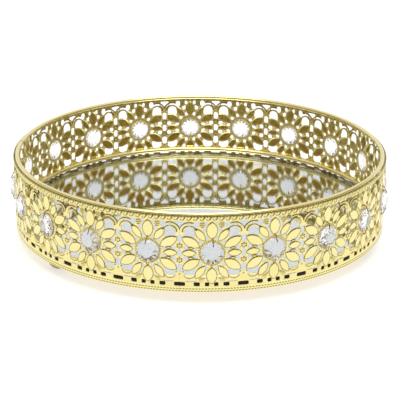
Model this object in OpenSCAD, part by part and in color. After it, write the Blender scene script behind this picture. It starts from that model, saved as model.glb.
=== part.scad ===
// Round mirrored vanity tray. A pierced, stamped band of flowers stands on end around
// a mirror, a wire hoop stiffens it at the top, a second hoop trims the mirror's edge,
// and each flower holds one cut crystal under two wire pins.
// Millimetres, +Z up, origin on the table at the centre of the three feet's plane.

/* [Band] */
// Outer diameter of the band
band_d = 250; // [244:1:256]
// Height of the band, from its bottom edge to its top edge
band_h = 49.5; // [49:0.25:52]
// Thickness of the band's sheet
sheet_t = 0.6; // [0.5:0.05:0.8]

/* [Hoops] */
// Diameter of the hoop on the band's top edge
rim_wire_d = 3; // [2.4:0.1:3.6]
// Height of the top hoop's centre above the band's top edge
rim_lift = 0.36; // [0:0.05:1]
// Diameter of the hoop that trims the mirror's edge
mirror_wire_d = 3.2; // [2.6:0.1:3.2]

/* [Mirror] */
// Thickness of the mirror's glass
glass_t = 2; // [1.8:0.1:2.4]
// Thickness of the foam pad under the glass
pad_t = 2.3; // [1.9:0.1:2.5]
// Thickness of the pan's sheet
pan_t = 1; // [0.8:0.1:1]

/* [Crystals] */
// Diameter of a crystal at its girdle
crystal_d = 14.4; // [14:0.1:14.8]
// Diameter of a crystal's table facet
table_d = 8; // [7:0.1:8.4]
// Height that a crystal stands out of the band
crystal_proud = 3.3; // [3:0.1:3.5]
// Diameter of the wire that the pins are bent from
pin_d = 0.7; // [0.6:0.05:0.8]

/* [Feet] */
// Distance from the table to the band's bottom edge
foot_drop = 7.7; // [7:0.1:9]
// Diameter of a foot
foot_d = 14; // [12:0.5:16]
// Distance of a foot from the tray's axis
foot_reach = 114.5; // [105:0.5:115]
// Turn of the first foot from the front of the tray
foot_turn = 64; // [60:0.5:66]

/* [Hidden] */
flowers = 20;
strips = 5;
feet = 3;
flowers_a_strip = flowers / strips;
flower_turn = 360 / flowers;
crystal_names = [for (i = [1:flowers]) str("crystal_", i < 10 ? "0" : "", i)];
strip_names = [for (i = [1:strips]) str("gallery_strip_", i)];
foot_names = [for (i = [1:feet]) str("foot_", i)];

band_r = band_d / 2;
bore_r = band_r - sheet_t;
band_bottom = foot_drop;
// Height of a flower's middle above the band's bottom edge
flower_rise = 25.76;
flower_z = band_bottom + flower_rise;
// The pattern is drawn for a pitch of 39.27, and stretches along the band to fit it
drawn_pitch = 39.27;
stretch = PI * band_d / flowers / drawn_pitch;
joint_gap = 0.1;
// Depth of the tools that cut the openings, far more than the sheet's curve and thickness
cut_depth = 6;
// How far a tool runs past the face that it cuts
cut_past = 1;

rim_wire_r = rim_wire_d / 2;
rim_z = band_bottom + band_h + rim_lift;
mirror_wire_r = mirror_wire_d / 2;

fit_gap = 0.1;
// Heights of the pan's floor and of its turned-down edge above the band's bottom edge
pan_lift = 0.7;
flange_lift = 0.2;
pan_floor = band_bottom + pan_lift;
pan_r = bore_r - fit_gap / 2;
pan_flange_t = 0.7;
pan_flange_bottom = band_bottom + flange_lift;
pad_floor = pan_floor + pan_t;
glass_floor = pad_floor + pad_t;
glass_top = glass_floor + glass_t;
seal_t = 0.8;
seal_r = pan_r - fit_gap;
glass_r = seal_r - seal_t - fit_gap / 2;
glass_bevel = 0.3;
// The seal stops short of the glass's top face, and the hoop stands just clear of it
seal_short = 0.4;
hoop_lift = 1.05;
hoop_inset = 0.02;
seal_top = glass_top - seal_short;
mirror_wire_z = glass_top + hoop_lift + mirror_wire_r;

crystal_r = crystal_d / 2;
// Width of the sheet's ledge that a crystal's girdle laps over
seat_lap = 0.35;
seat_r = crystal_r - seat_lap;
girdle_back = 0.12;
girdle_t = 0.8;
culet_r = 6.2;
pavilion_h = 0.8;
crown_back = girdle_back + girdle_t;
crown_slope = (crystal_proud - crown_back) / (crystal_r - table_d / 2);

pin_r = pin_d / 2;
// Distances of a pin's hole, bend and tip from the crystal's axis
pin_hole_at = crystal_r + 2.4;
pin_bend_at = crystal_r + 0.5;
pin_tip_at = crystal_r - 2.3;
// Clearances of a pin: over the crown, over the sheet, at its bend and behind the sheet
pin_clear = 0.12;
pin_sheet_clear = 0.08;
pin_bend_lift = 0.5;
pin_leg_past = 0.6;
pin_hole_ease = 0.05;
pin_leg_end = -sheet_t - pin_leg_past;
// The pins are square in section here, so the hole clears the square's corners
pin_hole_r = pin_r * sqrt(2) + pin_hole_ease;

screw_r = 1.5;
screw_hole_r = 1.6;
screw_head_r = 3;
screw_head_h = 0.9;
screw_depth = 5;
// Ease around a screw's shank in its foot, around its head in the pad, and under its tip
screw_ease = 0.05;
screw_head_ease = 0.4;
screw_tip_ease = 0.5;
foot_flat_r = 2.4;

gold = "khaki";
bright_gold = "palegoldenrod";

// Points of a leaf with two pointed ends on the x axis: each side is a circular arc
function leaf_points(length, width, steps = 3) =
    let (
        h = length / 2,
        b = width / 2,
        r = (h * h + b * b) / (2 * b),
        reach = asin(h / r),
        side = [for (i = [0:steps - 1]) let (a = reach - 2 * reach * i / steps)
            [r * sin(a), r * cos(a) - r + b]]
    )
    concat(side, [for (p = side) -p]);

// Points of a box with rounded sides: a superellipse, whose power sets how square it is
function cushion_points(width, height, power, steps) =
    [for (i = [0:steps - 1]) let (a = 360 * (i + 0.5) / steps)
        [
            width / 2 * sign(cos(a)) * pow(abs(cos(a)), 2 / power),
            height / 2 * sign(sin(a)) * pow(abs(sin(a)), 2 / power)
        ]];

// One opening of the pattern, cut square to the band: x along the band, z from the flower
module opening(x, z, turn = 0) {
    translate([x * stretch, -band_r + cut_depth / 2, flower_z + z])
        rotate([90, 0, 0])
            rotate(turn)
                linear_extrude(cut_depth)
                    children();
}

module leaf_opening(x, z, length, width, turn = 0) {
    opening(x, z, turn)
        polygon(leaf_points(length, width));
}

module cushion_opening(x, z, width, height, power = 2, steps = 8) {
    opening(x, z)
        polygon(cushion_points(width, height, power, steps));
}

// The seat that a crystal drops into, and the holes for its two pins
module crystal_seat() {
    translate([0, -band_r + cut_depth / 2, flower_z])
        rotate([90, 0, 0])
            cylinder(h = cut_depth, r = seat_r, $fn = 48);
    for (z = [-pin_hole_at, pin_hole_at])
        translate([0, -band_r + cut_depth / 2, flower_z + z])
            rotate([90, 0, 0])
                cylinder(h = cut_depth, r = pin_hole_r, $fn = 16);
}

// The gaps between one flower's petals on one side of it, mirrored by side = -1
module petal_gaps(side) {
    // Large windows above and below the side petals
    cushion_opening(side * 13.9, 14.1, 6.6, 5.4, 2.4, 12);
    cushion_opening(side * 13.9, -12.9, 6.4, 4.2, 2.6, 12);
    // Small windows around the crystal's collar
    cushion_opening(side * 3, 10.3, 2.4, 2.2);
    cushion_opening(side * 6.9, 7.7, 2.4, 2.2);
    cushion_opening(side * 10.1, 2.7, 2.9, 2.6);
    cushion_opening(side * 10.1, -2.6, 2.9, 2.6);
    cushion_opening(side * 7, -7.2, 2.4, 2.4);
    cushion_opening(side * 2.9, -9.6, 2.4, 2);
    cushion_opening(side * 15.9, 3.5, 3.2, 2.8);
    cushion_opening(side * 16, -3.5, 3.2, 2.8);
    // Windows between the upright petals and the slanting ones
    leaf_opening(side * 4.7, 15.5, 3.6, 2.2, 90);
    leaf_opening(side * 4.7, -14.9, 3, 2, 90);
    // Windows under the top border
    cushion_opening(side * 3, 19.7, 1.8, 2.4);
    cushion_opening(side * 9.2, 18.7, 2.8, 3.4);
    // Slots of the bottom border
    cushion_opening(side * 2.8, -20.45, 2.6, 2.1, 4);
    cushion_opening(side * 9.1, -20.45, 3.4, 2.1, 5);
    leaf_opening(side * 13.6, -18.7, 5, 0.9);
}

// The openings of the column where two flowers meet
module column_gaps() {
    cushion_opening(0, 18.9, 4.4, 3.8);
    cushion_opening(0, 9.3, 3.1, 5, 3);
    cushion_opening(0, -0.1, 2.9, 4.7, 3);
    cushion_opening(0, -9.8, 3.6, 5.2, 3);
    cushion_opening(0, -20.45, 6.3, 2.1, 6);
}

// One strip of the band: a curved, pierced sheet that meets the next in a column's middle
module gallery_strip(index) {
    first = index * flowers_a_strip;
    gap_turn = joint_gap / band_r * 180 / PI;
    arc = flowers_a_strip * flower_turn - gap_turn;
    start = (first - 0.5) * flower_turn + gap_turn / 2 - 90;
    color(gold)
        difference() {
            rotate([0, 0, start])
                translate([0, 0, band_bottom])
                    rotate_extrude(angle = arc, $fn = 180)
                        translate([bore_r, 0])
                            square([sheet_t, band_h]);
            for (i = [first:first + flowers_a_strip - 1])
                rotate([0, 0, i * flower_turn]) {
                    crystal_seat();
                    for (side = [-1, 1])
                        petal_gaps(side);
                }
            // The columns at the strip's two ends are each cut in half by a joint
            for (i = [first:first + flowers_a_strip])
                rotate([0, 0, (i - 0.5) * flower_turn])
                    column_gaps();
        }
}

module hoop(centre_r, wire_r, z) {
    translate([0, 0, z])
        rotate_extrude($fn = 180)
            translate([centre_r, 0])
                circle(r = wire_r, $fn = 32);
}

module rim_hoop() {
    color(bright_gold)
        hoop(bore_r - rim_wire_r - hoop_inset, rim_wire_r, rim_z);
}

module mirror_hoop() {
    color(bright_gold)
        hoop(bore_r - mirror_wire_r - hoop_inset, mirror_wire_r, mirror_wire_z);
}

// Places a part under each foot's position
module at_feet() {
    for (i = [0:feet - 1])
        at_foot(i)
            children();
}

module at_foot(index) {
    rotate([0, 0, foot_turn + index * 360 / feet])
        translate([0, -foot_reach, 0])
            children();
}

// Shallow pan: a disc with its edge turned down, soldered inside the band
module base_pan() {
    color(gold)
        difference() {
            translate([0, 0, pan_flange_bottom])
                cylinder(h = pad_floor - pan_flange_bottom, r = pan_r, $fn = 180);
            translate([0, 0, pan_flange_bottom - cut_past])
                cylinder(h = pan_floor - pan_flange_bottom + cut_past, r = pan_r - pan_flange_t, $fn = 180);
            at_feet()
                translate([0, 0, pan_flange_bottom])
                    cylinder(h = pad_floor, r = screw_hole_r, $fn = 32);
        }
}

module backing_pad() {
    color("dimgray")
        difference() {
            translate([0, 0, pad_floor])
                cylinder(h = pad_t, r = glass_r, $fn = 180);
            at_feet()
                translate([0, 0, pan_floor])
                    cylinder(h = pad_t + 2 * pan_t, r = screw_head_r + screw_head_ease, $fn = 32);
        }
}

module edge_seal() {
    color("black")
        difference() {
            translate([0, 0, pad_floor])
                cylinder(h = seal_top - pad_floor, r = seal_r, $fn = 180);
            translate([0, 0, pad_floor - cut_past])
                cylinder(h = seal_top - pad_floor + 2 * cut_past, r = seal_r - seal_t, $fn = 180);
        }
}

module mirror_glass() {
    color("lightsteelblue")
        translate([0, 0, glass_floor])
            rotate_extrude($fn = 180)
                polygon([
                    [0, 0],
                    [glass_r, 0],
                    [glass_r, glass_t - glass_bevel],
                    [glass_r - glass_bevel, glass_t],
                    [0, glass_t]
                ]);
}

// A bun foot: a ball between a flat sole and a flat top, on the pan's underside
module foot(index) {
    height = pan_floor;
    ball_r = foot_d / 2;
    // The ball's centre stands where a plane through the table cuts a sole of that radius
    centre = sqrt(pow(ball_r, 2) - pow(foot_flat_r, 2));
    color(gold)
        at_foot(index)
            difference() {
                intersection() {
                    translate([0, 0, centre])
                        sphere(r = ball_r, $fn = 48);
                    cylinder(h = height, r = ball_r + cut_past, $fn = 48);
                }
                translate([0, 0, height - screw_depth - screw_tip_ease])
                    cylinder(h = screw_depth + screw_tip_ease + cut_past, r = screw_r + screw_ease, $fn = 32);
            }
}

// Flat-headed screws that hold the feet to the pan, their heads inside the pad's holes
module foot_screws() {
    color("silver")
        at_feet() {
            translate([0, 0, pan_floor - screw_depth])
                cylinder(h = screw_depth + pan_t + screw_head_h / 2, r = screw_r, $fn = 32);
            translate([0, 0, pad_floor])
                cylinder(h = screw_head_h, r = screw_head_r, $fn = 32);
        }
}

// Turns a part drawn about +Z, with z = 0 on the band's face, out along a flower's axis
module at_flower(index) {
    rotate([0, 0, index * flower_turn])
        translate([0, -band_r, flower_z])
            rotate([90, 0, 0])
                children();
}

module crystal(index) {
    color("aliceblue")
        at_flower(index)
            rotate_extrude($fn = 48)
                polygon([
                    [0, girdle_back - pavilion_h],
                    [culet_r, girdle_back - pavilion_h],
                    [seat_r - fit_gap, girdle_back],
                    [crystal_r, girdle_back],
                    [crystal_r, crown_back],
                    [table_d / 2, crystal_proud],
                    [0, crystal_proud]
                ]);
}

function unit(v) = v / norm(v);

function left_of(v) = [-v[1], v[0]];

// Step from a path's point to its outline: across both of the runs that meet there
function mitre(path, i) =
    let (
        last = len(path) - 1,
        after = unit(path[min(i + 1, last)] - path[min(i, last - 1)]),
        before = unit(path[max(i, 1)] - path[max(i - 1, 0)])
    )
    (left_of(after) + left_of(before)) / (1 + after * before);

// Outline of a strip of the given half width that follows a path
function strip_points(path, half) =
    concat(
        [for (i = [0:len(path) - 1]) path[i] + half * mitre(path, i)],
        [for (i = [len(path) - 1:-1:0]) path[i] - half * mitre(path, i)]
    );

// A pin goes through the sheet beyond the crystal's edge and bends over its crown
module pin(index, side) {
    lie = pin_r + pin_sheet_clear;
    over = pin_r / cos(atan(crown_slope)) + pin_clear;
    knee = crown_back + crown_slope * (crystal_r - pin_bend_at) + over + pin_bend_lift;
    tip = crown_back + crown_slope * (crystal_r - pin_tip_at) + over;
    path = [
        [pin_hole_at, pin_leg_end],
        [pin_hole_at, lie],
        [pin_bend_at, knee],
        [pin_tip_at, tip]
    ];
    color("goldenrod")
        at_flower(index)
            mirror([0, side < 0 ? 1 : 0, 0])
                rotate([90, 0, 90])
                    linear_extrude(pin_d, center = true)
                        polygon(strip_points(path, pin_r));
}

for (i = [0:strips - 1])
    gallery_strip(i);
rim_hoop();
mirror_hoop();
base_pan();
backing_pad();
edge_seal();
mirror_glass();
for (i = [0:feet - 1])
    foot(i);
foot_screws();
for (i = [0:flowers - 1])
    crystal(i);
for (i = [0:flowers - 1]) pin(i, 1);  // upper_pins
for (i = [0:flowers - 1]) pin(i, -1);  // lower_pins
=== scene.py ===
"""Looks of a round mirrored vanity tray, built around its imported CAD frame.

A pierced and stamped band of twenty flowers stands round a silvered glass. Each flower holds a
cut crystal under two wire pins. Lengths are in metres unless a name ends in _mm; the classes
that draw the stamped pattern work in millimetres.
"""

import logging
import math
from dataclasses import dataclass
from enum import Enum

import bpy
import numpy as np
from mathutils import Matrix, Vector


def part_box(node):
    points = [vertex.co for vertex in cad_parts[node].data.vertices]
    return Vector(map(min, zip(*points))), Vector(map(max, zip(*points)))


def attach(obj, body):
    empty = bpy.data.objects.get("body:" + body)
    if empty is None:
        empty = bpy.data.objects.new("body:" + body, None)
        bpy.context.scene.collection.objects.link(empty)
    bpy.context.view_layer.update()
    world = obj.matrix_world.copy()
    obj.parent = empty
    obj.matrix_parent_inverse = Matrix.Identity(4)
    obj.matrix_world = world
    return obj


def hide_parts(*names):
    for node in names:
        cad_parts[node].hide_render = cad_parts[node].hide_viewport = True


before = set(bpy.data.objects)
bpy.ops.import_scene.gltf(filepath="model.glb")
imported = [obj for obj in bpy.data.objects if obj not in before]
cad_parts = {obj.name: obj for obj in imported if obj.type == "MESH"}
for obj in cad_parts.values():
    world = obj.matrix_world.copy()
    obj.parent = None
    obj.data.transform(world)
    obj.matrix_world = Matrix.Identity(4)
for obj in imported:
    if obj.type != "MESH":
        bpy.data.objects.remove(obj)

Array = np.ndarray
Node = bpy.types.Node
NodeTree = bpy.types.NodeTree
Socket = bpy.types.NodeSocket
Material = bpy.types.Material
Object = bpy.types.Object
Colour = tuple[float, float, float]
Pair = tuple[float, float]
Faces = list[Array]

LOG = logging.getLogger("tray")
MM = 0.001
BODY = "root"
# Name of the mesh mask of painted shade: 1 where a crease, groove or gap is darkened
PAINTED_SHADE = "crease"
SATIN = "satin"
# Distance that stands for metal far from any opening, and less than 0 for no metal at all
UNCUT = 9.0
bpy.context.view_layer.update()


class Side(Enum):
    """Which end of a crystal a row of pins holds."""

    UPPER = 1
    LOWER = -1


# ---------------------------------------------------------------- node groups and finishes


def new_group(name: str, inputs: dict[str, tuple], outputs: dict[str, str]) -> NodeTree:
    """Make an empty shader node group with named sockets.

    Args:
        name: The group's name.
        inputs: Socket name to (socket type, default value or None).
        outputs: Socket name to socket type.

    Returns:
        The node tree, with its Group Input and Group Output nodes in place.
    """
    tree = bpy.data.node_groups.new(name, "ShaderNodeTree")
    for label, (kind, default) in inputs.items():
        socket = tree.interface.new_socket(label, in_out="INPUT", socket_type=kind)
        if default is not None:
            socket.default_value = default
    for label, kind in outputs.items():
        tree.interface.new_socket(label, in_out="OUTPUT", socket_type=kind)
    tree.nodes.new("NodeGroupInput")
    tree.nodes.new("NodeGroupOutput")
    return tree


def ends(tree: NodeTree) -> tuple[Node, Node]:
    """Return a group's input node and output node."""
    return tree.nodes["Group Input"], tree.nodes["Group Output"]


def add_node(tree: NodeTree, kind: str, values: dict[str | int, object] | None = None) -> Node:
    """Add a node and set its inputs.

    Args:
        tree: The node tree of a group, a material or the world.
        kind: The node's type.
        values: Input name or number to value.

    Returns:
        The node.
    """
    node = tree.nodes.new(kind)
    for label, value in (values or {}).items():
        node.inputs[label].default_value = value
    return node


def add_blend(tree: NodeTree, values: dict[int, object] | None = None) -> Node:
    """Add a mixer of two colours, whose inputs are 0 for the share and 6 and 7 for the colours."""
    node = add_node(tree, "ShaderNodeMix")
    node.data_type = "RGBA"
    for slot, value in (values or {}).items():
        node.inputs[slot].default_value = value
    return node


def polish_group() -> NodeTree:
    """Build the group for polished metal: roughness that wanders, and a fine orange-peel height.

    Roughness is Low + (High - Low) times a noise field; Height is a finer noise field.

    Returns:
        The node group, with inputs Vector, Scale, Low and High.
    """
    tree = new_group(
        "polish",
        {
            "Vector": ("NodeSocketVector", None),
            "Scale": ("NodeSocketFloat", 90.0),
            "Low": ("NodeSocketFloat", 0.1),
            "High": ("NodeSocketFloat", 0.2),
        },
        {"Roughness": "NodeSocketFloat", "Height": "NodeSocketFloat"},
    )
    start, end = ends(tree)
    broad = add_node(tree, "ShaderNodeTexNoise", {"Detail": 3.0})
    spread = add_node(tree, "ShaderNodeMapRange", {"From Min": 0.3, "From Max": 0.7})
    finer = add_node(tree, "ShaderNodeMath", {1: 7.0})
    finer.operation = "MULTIPLY"
    fine = add_node(tree, "ShaderNodeTexNoise", {"Detail": 2.0})
    link = tree.links.new
    link(start.outputs["Vector"], broad.inputs["Vector"])
    link(start.outputs["Scale"], broad.inputs["Scale"])
    link(broad.outputs["Fac"], spread.inputs["Value"])
    link(start.outputs["Low"], spread.inputs["To Min"])
    link(start.outputs["High"], spread.inputs["To Max"])
    link(start.outputs["Scale"], finer.inputs[0])
    link(start.outputs["Vector"], fine.inputs["Vector"])
    link(finer.outputs[0], fine.inputs["Scale"])
    link(spread.outputs["Result"], end.inputs["Roughness"])
    link(fine.outputs["Fac"], end.inputs["Height"])
    return tree


def tone_and_shade_group() -> NodeTree:
    """Build the group that paints shade into the plating's creases and lets its tone drift.

    Colour is Metal mixed towards Drift by a broad noise field, then towards Dark, the painted shade, by
    Mask.

    Returns:
        The node group, with inputs Vector, Mask, Metal, Drift and Dark.
    """
    tree = new_group(
        "tone_and_painted_shade",
        {
            "Vector": ("NodeSocketVector", None),
            "Mask": ("NodeSocketFloat", 0.0),
            "Metal": ("NodeSocketColor", None),
            "Drift": ("NodeSocketColor", None),
            "Dark": ("NodeSocketColor", None),
        },
        {"Color": "NodeSocketColor"},
    )
    start, end = ends(tree)
    cloud = add_node(tree, "ShaderNodeTexNoise", {"Scale": 60.0, "Detail": 4.0})
    contrast = add_node(tree, "ShaderNodeMapRange", {"From Min": 0.35, "From Max": 0.75})
    tone = add_blend(tree)
    deep = add_blend(tree)
    link = tree.links.new
    link(start.outputs["Vector"], cloud.inputs["Vector"])
    link(cloud.outputs["Fac"], contrast.inputs["Value"])
    link(contrast.outputs["Result"], tone.inputs[0])
    link(start.outputs["Metal"], tone.inputs[6])
    link(start.outputs["Drift"], tone.inputs[7])
    link(start.outputs["Mask"], deep.inputs[0])
    link(tone.outputs[2], deep.inputs[6])
    link(start.outputs["Dark"], deep.inputs[7])
    link(deep.outputs[2], end.inputs["Color"])
    return tree


@dataclass(frozen=True)
class SharedGroups:
    """The shader groups that several finishes use."""

    polish: NodeTree
    tone_and_painted_shade: NodeTree


def new_material(name: str) -> tuple[Material, Node, Node]:
    """Start a material.

    Args:
        name: The material's name.

    Returns:
        The material, its Principled shader and a Texture Coordinate node.
    """
    material = bpy.data.materials.new(name)
    material.use_nodes = True
    nodes = material.node_tree.nodes
    return material, nodes["Principled BSDF"], nodes.new("ShaderNodeTexCoord")


def place_group(material: Material, tree: NodeTree, values: dict[str, object]) -> Node:
    """Add a group to a material and set its inputs.

    Args:
        material: The material.
        tree: The group's node tree.
        values: Input name to value.

    Returns:
        The group node.
    """
    node = add_node(material.node_tree, "ShaderNodeGroup")
    node.node_tree = tree
    for label, value in values.items():
        node.inputs[label].default_value = value
    return node


def add_bump(material: Material, height: Socket, shader: Node, distance: float, strength: float) -> None:
    """Feed a height field to a shader's normal.

    Args:
        material: The material.
        height: The socket that carries the height.
        shader: The Principled shader.
        distance: Depth of the relief in metres.
        strength: How strongly the relief shows, 0 to 1.
    """
    values = {"Distance": distance, "Strength": strength}
    bump = add_node(material.node_tree, "ShaderNodeBump", values)
    material.node_tree.links.new(height, bump.inputs["Height"])
    material.node_tree.links.new(bump.outputs["Normal"], shader.inputs["Normal"])


@dataclass(frozen=True)
class Base:
    """A material begun: its shader, and the two shared groups that feed it."""

    material: Material
    shader: Node
    polish: Node
    tone: Node

    def mask(self, attribute: str) -> Socket:
        """Add a node that reads a mask from the mesh, and return its output."""
        node = add_node(self.material.node_tree, "ShaderNodeAttribute")
        node.attribute_name = attribute
        return node.outputs["Fac"]


@dataclass(frozen=True)
class Finish:
    """A colour that drifts and a roughness that wanders; each kind of finish adds its own part.

    The tones are its colour, the colour that it drifts to and the painted shade of its creases. The
    roughness runs between two values, in patches whose size falls as the scale grows.
    """

    name: str
    tones: tuple[Colour, Colour, Colour]
    rough: Pair
    scale: float

    def material(self, groups: SharedGroups) -> Material:
        """Build the material.

        Args:
            groups: The shared shader groups.

        Returns:
            The finished material.
        """
        material, shader, place = new_material(self.name)
        link = material.node_tree.links.new
        low, high = self.rough
        polish = place_group(material, groups.polish, {"Scale": self.scale, "Low": low, "High": high})
        metal, drift, dark = [(*tone, 1) for tone in self.tones]
        colours = {"Metal": metal, "Drift": drift, "Dark": dark}
        tone = place_group(material, groups.tone_and_painted_shade, colours)
        link(place.outputs["Object"], polish.inputs["Vector"])
        link(place.outputs["Object"], tone.inputs["Vector"])
        link(tone.outputs["Color"], shader.inputs["Base Color"])
        link(polish.outputs["Roughness"], shader.inputs["Roughness"])
        self.complete(Base(material, shader, polish, tone))
        return material

    def complete(self, base: Base) -> None:
        """Add what one kind of finish has beyond the shared groups."""
        raise NotImplementedError


@dataclass(frozen=True)
class PlatedMetal(Finish):
    """Plated and polished metal, with painted shade in its creases and duller where it is satin."""

    peel: float = 0.12
    peel_depth: float = 0.0002
    satin: float = 0.0

    def complete(self, base: Base) -> None:
        """Make it metal, with painted shade in its creases, an orange-peel surface and satin if it has
        any.
        """
        link = base.material.node_tree.links.new
        base.shader.inputs["Metallic"].default_value = 1.0
        # The crease mask mixes the painted shade colour into the metal
        link(base.mask(PAINTED_SHADE), base.tone.inputs["Mask"])
        add_bump(base.material, base.polish.outputs["Height"], base.shader, self.peel_depth, self.peel)
        if self.satin:
            blend = add_node(base.material.node_tree, "ShaderNodeMix", {3: self.satin})
            link(base.mask(SATIN), blend.inputs[0])
            link(base.polish.outputs["Roughness"], blend.inputs[2])
            link(blend.outputs[0], base.shader.inputs["Roughness"])


@dataclass(frozen=True)
class ClearGlass(Finish):
    """Glass or cut crystal: clear, with faint smears on its surface."""

    ior: float = 1.5

    def complete(self, base: Base) -> None:
        """Make it clear."""
        base.shader.inputs["Transmission Weight"].default_value = 1.0
        base.shader.inputs["IOR"].default_value = self.ior


@dataclass(frozen=True)
class SoftBlack(Finish):
    """Matt foam or tape."""

    depth: float = 0.0003
    relief: float = 0.8

    def complete(self, base: Base) -> None:
        """Roughen its surface."""
        add_bump(base.material, base.polish.outputs["Height"], base.shader, self.depth, self.relief)


# Colour of the painted shade in the creases of brass finishes
BRASS_CREASE_SHADE = (0.2, 0.15, 0.05)
MATT = (0.75, 0.95)
GALLERY_GOLD = PlatedMetal(
    "gallery_gold",
    ((0.91, 0.83, 0.405), (0.885, 0.785, 0.345), (0.14, 0.115, 0.018)),
    (0.1, 0.2),
    90.0,
    satin=0.75,
)
HOOP_GOLD = PlatedMetal(
    "hoop_gold", ((0.93, 0.84, 0.42), (0.90, 0.79, 0.36), (0.14, 0.11, 0.018)), (0.06, 0.14), 90.0
)
PAN_GOLD = PlatedMetal(
    "pan_gold", ((0.90, 0.76, 0.38), (0.84, 0.68, 0.32), BRASS_CREASE_SHADE), (0.28, 0.42), 45.0, 0.3
)
# The feet's gold is a darker copy of it, with the shade that they stand in painted into its colour
SHADED_FOOT_GOLD = PlatedMetal(
    "foot_gold", ((0.42, 0.35, 0.115), (0.34, 0.28, 0.09), BRASS_CREASE_SHADE), (0.2, 0.34), 70.0
)
PIN_GOLD = PlatedMetal(
    "pin_gold", ((0.44, 0.31, 0.10), (0.34, 0.23, 0.07), BRASS_CREASE_SHADE), (0.12, 0.25), 200.0
)
SCREW_STEEL = PlatedMetal(
    "screw_steel", ((0.70, 0.70, 0.69), (0.58, 0.58, 0.57), (0.2, 0.2, 0.2)), (0.2, 0.35), 300.0, 0.25
)
SILVERING = PlatedMetal(
    "silvering", ((0.92, 0.93, 0.93), (0.90, 0.92, 0.91), (0.5, 0.5, 0.5)), (0.0, 0.01), 20.0, 0.0
)
MIRROR_GLASS = ClearGlass(
    "mirror_glass", ((0.95, 0.965, 0.955), (0.93, 0.95, 0.94), (0.93, 0.95, 0.94)), (0.0, 0.004), 40.0
)
CUT_CRYSTAL = ClearGlass(
    "cut_crystal",
    ((0.965, 0.965, 0.965), (0.935, 0.945, 0.96), (0.935, 0.945, 0.96)),
    (0.02, 0.07),
    40.0,
    ior=1.49,
)
BLACK_FOAM = SoftBlack(
    "black_foam", ((0.045, 0.045, 0.045), (0.02, 0.02, 0.02), (0.02, 0.02, 0.02)), MATT, 500.0
)
BLACK_SEAL = SoftBlack(
    "black_seal", ((0.012, 0.012, 0.012), (0.022, 0.022, 0.02), (0.022, 0.022, 0.02)), MATT, 260.0, 0.0001
)


# ---------------------------------------------------------------- meshes


def make_piece(
    name: str,
    points: Array,
    faces: Faces,
    material: Material,
    replaces: list[str],
    sharp_deg: float | None = 40.0,
    masks: dict[str, Array] | None = None,
) -> Object:
    """Turn arrays into a finished piece that rides on the tray.

    Args:
        name: The piece's name.
        points: Vertex positions, one row each.
        faces: Arrays of vertex numbers; each array holds faces of one size.
        material: The piece's material.
        replaces: The CAD nodes that it stands for.
        sharp_deg: Edges bent more than this stay sharp; None shades every face flat.
        masks: Attribute name to a value at each vertex, such as 1 in the bottom of a crease.

    Returns:
        The new object.
    """
    mesh = bpy.data.meshes.new(name)
    corners = np.concatenate([f.ravel() for f in faces]).astype(np.int32)
    sizes = np.concatenate([np.full(len(f), f.shape[1]) for f in faces]).astype(np.int32)
    mesh.vertices.add(len(points))
    mesh.vertices.foreach_set("co", np.ascontiguousarray(points, np.float32).ravel())
    mesh.loops.add(len(corners))
    mesh.loops.foreach_set("vertex_index", corners)
    mesh.polygons.add(len(sizes))
    starts = np.concatenate([[0], np.cumsum(sizes)[:-1]]).astype(np.int32)
    mesh.polygons.foreach_set("loop_start", starts)
    mesh.update(calc_edges=True)
    mesh.validate()
    mesh.polygons.foreach_set("use_smooth", np.full(len(mesh.polygons), sharp_deg is not None))
    if sharp_deg is not None:
        mesh.set_sharp_from_angle(angle=math.radians(sharp_deg))
    for label, values in (masks or {}).items():
        layer = mesh.attributes.new(label, "FLOAT", "POINT")
        layer.data.foreach_set("value", values.astype(np.float32))
    mesh.materials.append(material)
    piece = bpy.data.objects.new(name, mesh)
    bpy.context.scene.collection.objects.link(piece)
    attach(piece, BODY)
    if replaces:
        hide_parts(*replaces)
    LOG.info("%s: %d vertices, %d faces", name, len(mesh.vertices), len(mesh.polygons))
    return piece


def grid_quads(rows: int, columns: int, wrap_rows: bool, wrap_columns: bool) -> Array:
    """Number the quads of a grid whose vertex (i, j) is i * columns + j.

    Args:
        rows: Count of vertex rows.
        columns: Count of vertices in a row.
        wrap_rows: Whether the last row joins the first.
        wrap_columns: Whether each row is a closed ring.

    Returns:
        One row of four vertex numbers for each quad.
    """
    i, j = np.meshgrid(
        np.arange(rows if wrap_rows else rows - 1),
        np.arange(columns if wrap_columns else columns - 1),
        indexing="ij",
    )
    i, j = i.ravel(), j.ravel()
    k, m = (i + 1) % rows, (j + 1) % columns
    return np.stack([i * columns + j, i * columns + m, k * columns + m, k * columns + j], 1)


def closed_rings(count: int, sides: int) -> Faces:
    """Skin a stack of rings and close its two ends with fans.

    Args:
        count: Count of rings.
        sides: Count of points in a ring.

    Returns:
        The faces; the first pole's number follows the rings' last, and the last pole's follows it.
    """
    here = np.arange(sides)
    after = (here + 1) % sides
    pole, last = count * sides, (count - 1) * sides
    first_cap = np.stack([after, here, np.full(sides, pole)], 1)
    last_cap = np.stack([last + here, last + after, np.full(sides, pole + 1)], 1)
    return [grid_quads(count, sides, False, True), first_cap, last_cap]


def lathe(profile: Array, segments: int) -> tuple[Array, Faces]:
    """Turn a profile about the z axis into a closed solid.

    The profile runs from the axis at the bottom to the axis at the top; its first and last
    points become the two poles, closed by fans.

    Args:
        profile: Rows of (radius, height).
        segments: Count of steps round the axis.

    Returns:
        The points and the faces.
    """
    turn = np.linspace(0, 2 * math.pi, segments, endpoint=False)
    rings = profile[1:-1]
    x = rings[:, :1] * np.cos(turn)
    y = rings[:, :1] * np.sin(turn)
    z = np.repeat(rings[:, 1:], segments, 1)
    body = np.stack([x, y, z], -1).reshape(-1, 3)
    poles = np.array([[0, 0, profile[0, 1]], [0, 0, profile[-1, 1]]])
    return np.concatenate([body, poles]), closed_rings(len(rings), segments)


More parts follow.
